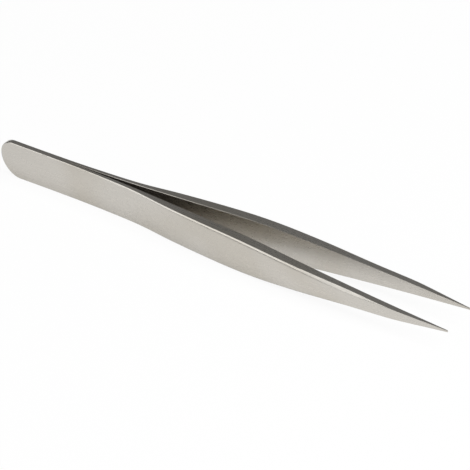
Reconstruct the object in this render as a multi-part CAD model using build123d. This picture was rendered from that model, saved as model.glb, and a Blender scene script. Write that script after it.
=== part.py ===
from build123d import *

import os
from math import atan2, cos, degrees, radians, sin

# Fine point tweezers: two ground spring steel arms, welded face to face at the heel.
# Units are millimetres. X runs from the heel to the points, Y across the gap, and Z is up.
# While an arm is modelled, x is 0 at the end of the heel and z is 0 at half the arm's height.
# The finished part is turned a little, so that it lies on the lower edges of its arms, as on a table.
# Its origin is on the table, under its middle.

# Length, and the places along it where the arm changes
length = 120.0
heel_flat_end = 16.0
weld_end = 20.0
spring_at = 30.0
bend_at = 40.0
shoulder_at = 50.0
grip_at = 65.0
belly_at = 85.0
nose_at = 105.0

# Half the gap between the arms, from the centre plane to the inner face
spring_gap = 0.15
bend_gap = 0.5
shoulder_gap = 1.05
grip_gap = 1.95
belly_gap = 2.95
nose_gap = 3.5
tip_gap = 3.65

# Thickness of one arm
heel_thickness = 0.65
spring_thickness = 0.8
bend_thickness = 1.05
shoulder_thickness = 1.75
grip_thickness = 2.2
belly_thickness = 2.1
nose_thickness = 1.3
tip_thickness = 0.16

# Height of one arm
heel_height = 9.5
heel_round_length = 4.4
grip_height = 8.65
taper_start = 71.0
nose_round_length = 14.0
tip_height = 0.4

# Ground outer edges: a narrow flat that widens from the bend to the nose and runs out before the points
edge_flat = 0.2
shoulder_flat = 0.45
belly_flat = 0.55
nose_flat = 0.65
nose_flat_at = 97.0
nose_flat_end = 109.5

# Inner edges: a narrow flat from the end of the weld to where the inner faces are ground for the points
inner_flat = 0.1
inner_flat_end = 83.0

edge_angle = 45.0

# Pitch of the points that the smooth outlines run through, and room round the arm for cutting
outline_pitch = 4.0
room = 20.0


def smooth(stations):
    """A height that runs smoothly through (x, height) stations, in cubic spans."""
    places = [place for place, _ in stations]
    heights = [height for _, height in stations]
    spans = [b - a for a, b in zip(places, places[1:])]
    rises = [(b - a) / span for a, b, span in zip(heights, heights[1:], spans)]
    slopes = [rises[0]]
    for before, after, left, right in zip(rises, rises[1:], spans, spans[1:]):
        slopes.append((before * right + after * left) / (left + right))
    slopes.append(rises[-1])

    def height_at(x):
        i = 0
        while i < len(spans) - 1 and x > places[i + 1]:
            i += 1
        t = (x - places[i]) / spans[i]
        rise = heights[i + 1] - heights[i]
        leaving = slopes[i] * spans[i] - rise
        arriving = slopes[i + 1] * spans[i] - rise
        return heights[i] + rise * t + t * (1 - t) * ((1 - t) * leaving - t * arriving)

    return height_at


gap_curve = smooth(
    [
        (heel_flat_end, 0.0),
        (weld_end, 0.0),
        (spring_at, spring_gap),
        (bend_at, bend_gap),
        (shoulder_at, shoulder_gap),
        (grip_at, grip_gap),
        (belly_at, belly_gap),
        (nose_at, nose_gap),
        (length, tip_gap),
    ]
)

thickness_curve = smooth(
    [
        (0.0, heel_thickness),
        (heel_flat_end, heel_thickness),
        (spring_at, spring_thickness),
        (bend_at, bend_thickness),
        (shoulder_at, shoulder_thickness),
        (grip_at, grip_thickness),
        (belly_at, belly_thickness),
        (nose_at, nose_thickness),
        (length, tip_thickness),
    ]
)


def inner_side(x):
    """Distance of the arm's inner face from the centre plane. The welded part lies on it."""
    return gap_curve(x) if x > weld_end else 0.0


def outer_side(x):
    """Distance of the arm's outer face from the centre plane."""
    return inner_side(x) + thickness_curve(x)


def half_height(x):
    """Half the arm's height: nearly even up to the nose, then a round and a straight taper to the point."""
    slope = (heel_height - grip_height) / (taper_start - heel_round_length) / 2
    taper = (grip_height - tip_height) / (length - taper_start) / 2
    into_round = x - (taper_start - nose_round_length / 2)
    if into_round > nose_round_length:
        return tip_height / 2 + (length - x) * taper
    turned = max(into_round, 0.0) ** 2 / (2 * nose_round_length) * (taper - slope)
    return heel_height / 2 - (x - heel_round_length) * slope - turned


def stations_between(start, end):
    """Evenly spaced places along the arm, no further apart than the outline pitch."""
    steps = round((end - start) / outline_pitch)
    return [start + (end - start) * i / steps for i in range(steps + 1)]


def line_through(side, start, end):
    """The smooth outline of one side of the arm, as a spline."""
    return Spline(*[(x, side(x)) for x in stations_between(start, end)])


def heel():
    """The welded end: a flat strip with a round end and a ground outer rim."""
    start = heel_round_length
    end = heel_flat_end
    outline = [
        EllipticalCenterArc((start, 0), heel_round_length, half_height(start), 90, arc_size=180),
        Line((start, -half_height(start)), (end, -half_height(end))),
        Line((end, -half_height(end)), (end, half_height(end))),
        Line((end, half_height(end)), (start, half_height(start))),
    ]
    strip = extrude(Plane.XZ * make_face(outline), amount=-heel_thickness)
    outer_face = strip.faces().sort_by(Axis.Y)[-1]
    rim = [edge for edge in outer_face.edges() if edge.center().X < end - outline_pitch / 10]
    return chamfer(rim, edge_flat * sin(radians(edge_angle)))


def body():
    """The arm from the end of the heel's flat to the point, before its edges are ground."""
    start = heel_flat_end
    plan = [
        Line((start, inner_side(start)), (weld_end, inner_side(weld_end))),
        Spline(
            *[(x, inner_side(x)) for x in stations_between(weld_end, length)],
            tangents=[(1, 0), (length - nose_at, tip_gap - nose_gap)],
        ),
        Line((length, inner_side(length)), (length, outer_side(length))),
        line_through(outer_side, start, length),
        Line((start, inner_side(start)), (start, outer_side(start))),
    ]
    round_start = taper_start - nose_round_length / 2
    round_end = taper_start + nose_round_length / 2
    upper = [
        Line((start, half_height(start)), (round_start, half_height(round_start))),
        line_through(half_height, round_start, round_end),
        Line((round_end, half_height(round_end)), (length, half_height(length))),
    ]
    lower = [mirror(line, about=Plane.XZ) for line in upper]
    ends = [Line((x, -half_height(x)), (x, half_height(x))) for x in (start, length)]
    side = upper + lower + ends
    from_above = extrude(Plane.XY.offset(-room / 2) * make_face(plan), amount=room)
    from_beside = extrude(Plane.XZ.offset(-room / 2) * make_face(side), amount=room)
    return from_above & from_beside


def grind(arm, side, direction, flat, start, end):
    """Grind a flat along the arm's upper and lower edges, on the side the direction points to."""
    angle = radians(edge_angle)
    across = Plane(origin=(0, 0, 0), x_dir=(1, 0, 0), z_dir=(0, -sin(angle), direction * cos(angle)))

    def reach(x):
        return direction * cos(angle) * side(x) + sin(angle) * half_height(x) - flat(x) / 2

    profile = [
        line_through(reach, start, end),
        Line((end, reach(end)), (end, -room)),
        Line((end, -room), (start, -room)),
        Line((start, -room), (start, reach(start))),
    ]
    kept = extrude(across.offset(-room) * make_face(profile), amount=2 * room)
    return arm & kept & mirror(kept, about=Plane.XY)


def ground_arm():
    """One arm, from the welded heel to the point."""
    start = heel_flat_end
    outer_flat = smooth(
        [
            (start, edge_flat),
            (spring_at, edge_flat),
            (shoulder_at, shoulder_flat),
            (belly_at, belly_flat),
            (nose_flat_at, nose_flat),
            (nose_flat_end, 0.0),
            (length, -edge_flat),
        ]
    )
    inner_edge_flat = smooth(
        [
            (start, -inner_flat),
            (weld_end, 0.0),
            (spring_at, inner_flat),
            (grip_at, inner_flat),
            (inner_flat_end, 0.0),
            (nose_at, -inner_flat),
            (length, -inner_flat),
        ]
    )
    arm = grind(body(), outer_side, 1, outer_flat, start, length)
    arm = grind(arm, inner_side, -1, inner_edge_flat, start, length)
    return heel() + arm


if __name__ == "__main__":
    os.makedirs("parts", exist_ok=True)
    lean = atan2((heel_height - grip_height) / 2, taper_start - heel_round_length)
    middle_height = half_height(length / 2) * cos(lean)
    on_table = Pos(0, 0, middle_height) * Rot(0, degrees(lean), 0) * Pos(-length / 2, 0, 0)
    left_arm = on_table * ground_arm()
    right_arm = mirror(left_arm, about=Plane.XZ)
    export_step(left_arm, "parts/left_arm.step")
    export_step(right_arm, "parts/right_arm.step")
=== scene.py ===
from math import atan2, cos, pi, radians, sin, sqrt

import bmesh
import bpy
from mathutils import Matrix, Vector


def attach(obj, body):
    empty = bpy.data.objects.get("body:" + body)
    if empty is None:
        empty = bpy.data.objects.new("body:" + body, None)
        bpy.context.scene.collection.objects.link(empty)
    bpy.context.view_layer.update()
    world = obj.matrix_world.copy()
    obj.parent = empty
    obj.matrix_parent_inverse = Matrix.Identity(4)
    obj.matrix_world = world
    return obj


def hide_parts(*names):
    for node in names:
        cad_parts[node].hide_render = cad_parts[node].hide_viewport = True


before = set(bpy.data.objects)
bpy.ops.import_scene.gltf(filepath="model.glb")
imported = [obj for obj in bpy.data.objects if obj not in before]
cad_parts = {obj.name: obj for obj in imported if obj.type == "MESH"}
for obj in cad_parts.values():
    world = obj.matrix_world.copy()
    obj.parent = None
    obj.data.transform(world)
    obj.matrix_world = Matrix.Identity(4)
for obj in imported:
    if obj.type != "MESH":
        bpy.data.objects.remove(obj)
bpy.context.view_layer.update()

# Fine point tweezers: two satin ground steel arms, welded face to face at the heel.
# Sizes are written in millimetres, and become metres where a mesh is built.
# While an arm is shaped, x is 0 at the end of the heel, y is the distance from the centre plane
# between the arms, and z is 0 at half the arm's height.
mm = 0.001

# Length, and the places along it where the arm changes
length = 120.0
heel_flat_end = 16.0
weld_end = 20.0
spring_at = 30.0
bend_at = 40.0
shoulder_at = 50.0
grip_at = 65.0
belly_at = 85.0
nose_at = 105.0

# Half the gap between the arms
spring_gap = 0.15
bend_gap = 0.5
shoulder_gap = 1.05
grip_gap = 1.95
belly_gap = 2.95
nose_gap = 3.5
tip_gap = 3.65

# Thickness of one arm
heel_thickness = 0.65
spring_thickness = 0.8
bend_thickness = 1.05
shoulder_thickness = 1.75
grip_thickness = 2.2
belly_thickness = 2.1
nose_thickness = 1.3
tip_thickness = 0.16

# Height of one arm
heel_height = 9.5
heel_round_length = 4.4
grip_height = 8.65
taper_start = 71.0
nose_round_length = 14.0
tip_height = 0.4

# Ground edges: the width of the narrow flat, and where it is widest and where it ends
edge_flat = 0.2
shoulder_flat = 0.45
belly_flat = 0.65
nose_flat = 0.75
nose_flat_at = 97.0
nose_flat_end = 109.5
inner_flat = 0.1
inner_flat_end = 83.0

# What finishing leaves: every free edge has at least a trace of a flat, which the inner edges gain over
# a short run from the end of the weld. A flat runs into its faces by small turns. At the grip and the belly
# the outer flat runs into the outer face by a softer one.
worn_flat = 0.05
worn_from = 6.0
worn_turn = 0.015
inner_turn = 0.05
soft_turn = 0.2

# How finely an arm is divided along its length and round its heel, and the bend that still looks smooth
ring_pitch = 1.0
heel_rings = 20
smooth_angle = 40.0

# The camera, as the photograph was taken: its angle round and above the tweezers, the turn of the frame,
# its distance, the offset of the frame's middle, and the lens for a sensor 36 mm wide
view_azimuth = 45.54
view_elevation = 35.5
view_roll = 11.0
view_distance = 450.0
view_offset = (4.28, -0.83)
sensor_width = 36.0
lens_length = 170.64

# The studio, in metres and watts: an even grey room, and a large white table with two soft boxes over it.
# Each soft box has its direction from the tweezers, its distance, its width and its power.
room_level = 0.18
table_reach = 6.0
soft_boxes = {
    "key soft box": ((0.5, -0.03, 0.87), 0.8, 0.6, 6.5),
    "front soft box": ((-0.584, -0.569, 0.578), 0.7, 0.5, 1.1),
}

# How much of the table's own white each kind of ray sees. The rest is its lit surface, with soft shadows.
white_seen = 0.92
white_reflected = 0.3
white_through = 0.92


def linear(hex_colour):
    """The linear colour of an sRGB hex value."""
    colour = []
    for i in (1, 3, 5):
        value = int(hex_colour[i : i + 2], 16) / 255
        colour.append(value / 12.92 if value <= 0.04045 else ((value + 0.055) / 1.055) ** 2.4)
    return (*colour, 1.0)


def add(tree, kind, settings=None, links=None):
    """Add a node. Settings set its fields, or its inputs by name or number. Links join sockets to inputs."""
    node = tree.nodes.new(kind)
    for key, value in (settings or {}).items():
        if isinstance(key, str) and hasattr(node, key):
            setattr(node, key, value)
        else:
            node.inputs[key].default_value = value
    for key, socket in (links or {}).items():
        tree.links.new(socket, node.inputs[key])
    return node


# The shape of an arm


def smooth(stations):
    """A height that runs smoothly through (x, height) stations, in cubic spans."""
    places = [place for place, _ in stations]
    heights = [height for _, height in stations]
    spans = [b - a for a, b in zip(places, places[1:])]
    rises = [(b - a) / span for a, b, span in zip(heights, heights[1:], spans)]
    slopes = [rises[0]]
    for before, after, left, right in zip(rises, rises[1:], spans, spans[1:]):
        slopes.append((before * right + after * left) / (left + right))
    slopes.append(rises[-1])

    def height_at(x):
        i = 0
        while i < len(spans) - 1 and x > places[i + 1]:
            i += 1
        t = (x - places[i]) / spans[i]
        rise = heights[i + 1] - heights[i]
        leaving = slopes[i] * spans[i] - rise
        arriving = slopes[i + 1] * spans[i] - rise
        return heights[i] + rise * t + t * (1 - t) * ((1 - t) * leaving - t * arriving)

    return height_at


gap_curve = smooth(
    [
        (heel_flat_end, 0.0),
        (weld_end, 0.0),
        (spring_at, spring_gap),
        (bend_at, bend_gap),
        (shoulder_at, shoulder_gap),
        (grip_at, grip_gap),
        (belly_at, belly_gap),
        (nose_at, nose_gap),
        (length, tip_gap),
    ]
)

thickness_curve = smooth(
    [
        (0.0, heel_thickness),
        (heel_flat_end, heel_thickness),
        (spring_at, spring_thickness),
        (bend_at, bend_thickness),
        (shoulder_at, shoulder_thickness),
        (grip_at, grip_thickness),
        (belly_at, belly_thickness),
        (nose_at, nose_thickness),
        (length, tip_thickness),
    ]
)

# Past its end a flat's curve goes below 0, and the trace that wear leaves takes its place
outer_flat_curve = smooth(
    [
        (0.0, edge_flat),
        (spring_at, edge_flat),
        (shoulder_at, shoulder_flat),
        (belly_at, belly_flat),
        (nose_flat_at, nose_flat),
        (nose_flat_end, 0.0),
        (length, -edge_flat),
    ]
)

inner_flat_curve = smooth(
    [
        (0.0, -inner_flat),
        (weld_end, 0.0),
        (spring_at, inner_flat),
        (grip_at, inner_flat),
        (inner_flat_end, 0.0),
        (length, -inner_flat),
    ]
)

outer_turn_curve = smooth(
    [
        (0.0, worn_turn),
        (bend_at, worn_turn),
        (grip_at, soft_turn),
        (belly_at, soft_turn),
        (nose_flat_at, soft_turn / 3),
        (nose_flat_end, worn_turn),
        (length, worn_turn),
    ]
)


def inner_side(x):
    """Distance of the arm's inner face from the centre plane. The welded part lies on it."""
    return gap_curve(x) if x > weld_end else 0.0


def half_height(x):
    """Half the arm's height: nearly even up to the nose, then a round and a straight taper to the point."""
    slope = (heel_height - grip_height) / (taper_start - heel_round_length) / 2
    taper = (grip_height - tip_height) / (length - taper_start) / 2
    into_round = x - (taper_start - nose_round_length / 2)
    if into_round > nose_round_length:
        return tip_height / 2 + (length - x) * taper
    turned = max(into_round, 0.0) ** 2 / (2 * nose_round_length) * (taper - slope)
    return heel_height / 2 - (x - heel_round_length) * slope - turned


# The arms lie on their lower edges, so the line through the middle of their height leans down to the points
lean = atan2((heel_height - grip_height) / 2, taper_start - heel_round_length)
middle_height = half_height(length / 2) * cos(lean)
on_table = (
    Matrix.Translation((0, 0, middle_height))
    @ Matrix.Rotation(lean, 4, "Y")
    @ Matrix.Translation((-length / 2, 0, 0))
)


def corner(flat, edge_turn, side_turn):
    """The points that a ground edge adds to a section: (distance in from the side, depth below the edge)."""
    leg = flat / sqrt(2)
    edge_step = min(edge_turn, leg / 2) / sqrt(2)
    side_step = min(side_turn, leg / 2) / sqrt(2)
    return [
        (leg + edge_step * sqrt(2), 0.0),
        (leg - edge_step, edge_step),
        (side_step, leg - side_step),
        (0.0, leg + side_step * sqrt(2)),
    ]


def section(x):
    """The upper half of the arm's section: (y, depth below the upper edge), from the inner face outwards."""
    inner = inner_side(x)
    thickness = thickness_curve(x)
    outer = inner + thickness
    edge_turn = min(worn_turn, thickness / 9)
    trace = min(worn_flat, thickness / 4)
    opened = min(max(x - weld_end, 0.0) / worn_from, 1.0)
    inner_edge = max(inner_flat_curve(x), trace * opened) if x > weld_end else 0.0
    outer_edge = max(outer_flat_curve(x), trace)
    inner_corner = corner(inner_edge, inner_turn, inner_turn)
    outer_corner = corner(outer_edge, edge_turn, outer_turn_curve(x))
    points = [(inner + across, down) for across, down in reversed(inner_corner)]
    points += [(outer - across, down) for across, down in outer_corner]
    return points


def stations():
    """Places along the arm: (x, half height, angle of the outline from straight up at the heel's end)."""
    places = []
    for i in range(heel_rings):
        angle = pi / 2 * i / heel_rings
        places.append((heel_round_length * (1 - cos(angle)), heel_height / 2 * sin(angle), angle))
    steps = round((length - heel_round_length) / ring_pitch)
    for i in range(steps + 1):
        x = heel_round_length + (length - heel_round_length) * i / steps
        places.append((x, half_height(x), pi / 2))
    return places


def arm(name, side):
    """One arm as a closed mesh. Side is 1 for the left arm and -1 for the right one."""
    mesh = bmesh.new()
    rings = []
    for x, half, angle in stations():
        upper = []
        lower = []
        for y, depth in section(x):
            along = x + depth * cos(angle)
            up = max(half - depth * sin(angle), 0.0)
            upper.append(mesh.verts.new(on_table @ Vector((along, side * y, up)) * mm))
            lower.append(mesh.verts.new(on_table @ Vector((along, side * y, -up)) * mm))
        rings.append(upper + lower[::-1])
    for ring, following in zip(rings, rings[1:]):
        for i in range(len(ring)):
            j = (i + 1) % len(ring)
            mesh.faces.new((ring[i], ring[j], following[j], following[i]))
    mesh.faces.new(rings[-1])
    bmesh.ops.remove_doubles(mesh, verts=mesh.verts, dist=0.002 * mm)
    bmesh.ops.dissolve_degenerate(mesh, edges=mesh.edges, dist=0.001 * mm)
    bmesh.ops.recalc_face_normals(mesh, faces=mesh.faces)
    data = bpy.data.meshes.new(name)
    mesh.to_mesh(data)
    mesh.free()
    data.shade_smooth()
    data.set_sharp_from_angle(angle=radians(smooth_angle))
    piece = bpy.data.objects.new(name, data)
    bpy.context.scene.collection.objects.link(piece)
    weighted = piece.modifiers.new("face weighted normals", "WEIGHTED_NORMAL")
    weighted.keep_sharp = True
    return piece


# Finishes


def satin_ground_stainless_steel():
    """Stainless steel, ground lengthwise and satin finished: a soft, even sheen with very fine grain."""
    material = bpy.data.materials.new("satin ground stainless steel")
    material.use_nodes = True
    tree = material.node_tree
    tree.nodes.clear()
    place = add(tree, "ShaderNodeTexCoord").outputs["Object"]

    # Grinding marks run along the arm. Real ones are finer than the picture can show, at about 0.02 mm
    # apart, so they are drawn 0.12 mm apart.
    grain_pitch = 0.12 * mm
    grain_run = 6.0 * mm
    grain_scale = (1 / grain_run, 1 / grain_pitch, 1 / grain_pitch)
    stretched = add(tree, "ShaderNodeMapping", {"Scale": grain_scale}, {"Vector": place})
    grain = add(tree, "ShaderNodeTexNoise", {"Scale": 1.0, "Detail": 2.0}, {"Vector": stretched.outputs[0]})
    roughness = add(
        tree,
        "ShaderNodeMapRange",
        {"From Min": 0.3, "From Max": 0.7, "To Min": 0.25, "To Max": 0.35},
        {"Value": grain.outputs[0]},
    )
    bump = add(
        tree,
        "ShaderNodeBump",
        {"Strength": 0.25, "Distance": 0.002 * mm},
        {"Height": grain.outputs[0]},
    )

    # Painted shade: the steel is drawn a trace warmer and darker in soft patches, placed where its
    # reflections fall duller
    shade_patch_size = 18 * mm
    shade_patch_offset = (0.143, 0.0781, 0.0)
    shifted = add(tree, "ShaderNodeMapping", {"Location": shade_patch_offset}, {"Vector": place})
    shade_patches = add(
        tree,
        "ShaderNodeTexNoise",
        {"Scale": 1 / shade_patch_size, "Detail": 1.0},
        {"Vector": shifted.outputs[0]},
    )
    painted_shade = add(
        tree,
        "ShaderNodeMapRange",
        {"From Min": 0.42, "From Max": 0.62},
        {"Value": shade_patches.outputs[0]},
    )
    # The first colour is the plain steel, the second the steel under painted shade
    tint_with_painted_shade = add(
        tree,
        "ShaderNodeMix",
        {"data_type": "RGBA", 6: linear("#CAC6BF"), 7: linear("#C4BFB6")},
        {0: painted_shade.outputs[0]},
    )
    steel = add(
        tree,
        "ShaderNodeBsdfPrincipled",
        {"Metallic": 1.0},
        {"Base Color": tint_with_painted_shade.outputs[2], "Roughness": roughness.outputs[0], "Normal": bump.outputs[0]},
    )
    add(tree, "ShaderNodeOutputMaterial", links={"Surface": steel.outputs[0]})
    return material


def matt_white_table():
    """A matt white table top: nearly evenly white to the eye, with soft shadows."""
    material = bpy.data.materials.new("matt white table")
    material.use_nodes = True
    tree = material.node_tree
    tree.nodes.clear()
    matt = add(tree, "ShaderNodeBsdfDiffuse", {"Color": linear("#F2F2F2")})
    white = add(tree, "ShaderNodeEmission", {"Color": linear("#FFFFFF"), "Strength": 1.0})
    ray = add(tree, "ShaderNodeLightPath")
    share = add(
        tree,
        "ShaderNodeMath",
        {"operation": "MULTIPLY", 1: white_seen},
        {0: ray.outputs["Is Camera Ray"]},
    )
    for kind, amount in (("Is Glossy Ray", white_reflected), ("Is Transmission Ray", white_through)):
        share = add(
            tree,
            "ShaderNodeMath",
            {"operation": "MULTIPLY_ADD", 1: amount},
            {0: ray.outputs[kind], 2: share.outputs[0]},
        )
    both = add(
        tree,
        "ShaderNodeMixShader",
        links={0: share.outputs[0], 1: matt.outputs[0], 2: white.outputs[0]},
    )
    add(tree, "ShaderNodeOutputMaterial", links={"Surface": both.outputs[0]})
    return material


# The studio


def table():
    """The table that the tweezers lie on. It fills every view from more than about 7 degrees above it."""
    corners = [
        (-table_reach, -table_reach, 0),
        (table_reach, -table_reach, 0),
        (table_reach, table_reach, 0),
        (-table_reach, table_reach, 0),
    ]
    data = bpy.data.meshes.new("table")
    data.from_pydata(corners, [], [(0, 1, 2, 3)])
    data.materials.append(matt_white_table())
    top = bpy.data.objects.new("table", data)
    bpy.context.scene.collection.objects.link(top)


def soft_box(name, direction, distance, width, power):
    """A square soft box, facing the tweezers from that direction."""
    light = bpy.data.lights.new(name, "AREA")
    light.shape = "SQUARE"
    light.size = width
    light.energy = power
    lamp = bpy.data.objects.new(name, light)
    bpy.context.scene.collection.objects.link(lamp)
    place = Vector(direction).normalized() * distance
    lamp.location = place
    lamp.rotation_euler = place.to_track_quat("Z", "Y").to_euler()


def room():
    """The room round the table: an even grey."""
    world = bpy.data.worlds.new("studio")
    world.use_nodes = True
    world.node_tree.nodes.clear()
    grey = (room_level, room_level, room_level, 1.0)
    background = add(world.node_tree, "ShaderNodeBackground", {"Color": grey, "Strength": 1.0})
    add(world.node_tree, "ShaderNodeOutputWorld", links={"Surface": background.outputs[0]})
    bpy.context.scene.world = world


def camera():
    """The camera, placed round the middle of the tweezers as the photograph's was."""
    round_by = radians(view_azimuth)
    above_by = radians(view_elevation)
    roll = radians(view_roll)
    right = Vector((cos(round_by), sin(round_by), 0))
    forward = Vector((-sin(round_by) * cos(above_by), cos(round_by) * cos(above_by), -sin(above_by)))
    up = right.cross(forward)
    right, up = cos(roll) * right - sin(roll) * up, sin(roll) * right + cos(roll) * up
    middle = Vector((0, 0, middle_height))
    place = middle - forward * view_distance + right * view_offset[0] + up * view_offset[1]
    data = bpy.data.cameras.new("camera")
    data.sensor_width = sensor_width
    data.lens = lens_length
    data.clip_start = 0.01
    data.clip_end = 100.0
    eye = bpy.data.objects.new("camera", data)
    bpy.context.scene.collection.objects.link(eye)
    turn = Matrix((right, up, -forward)).transposed().to_4x4()
    eye.matrix_world = Matrix.Translation(place * mm) @ turn
    bpy.context.scene.camera = eye


camera()
room()
table()
for name, settings in soft_boxes.items():
    soft_box(name, *settings)

steel = satin_ground_stainless_steel()
for name, side in (("left_arm", 1), ("right_arm", -1)):
    piece = arm("ground_" + name, side)
    piece.data.materials.append(steel)
    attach(piece, "root")
    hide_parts(name)

bpy.context.scene.view_settings.view_transform = "Standard"
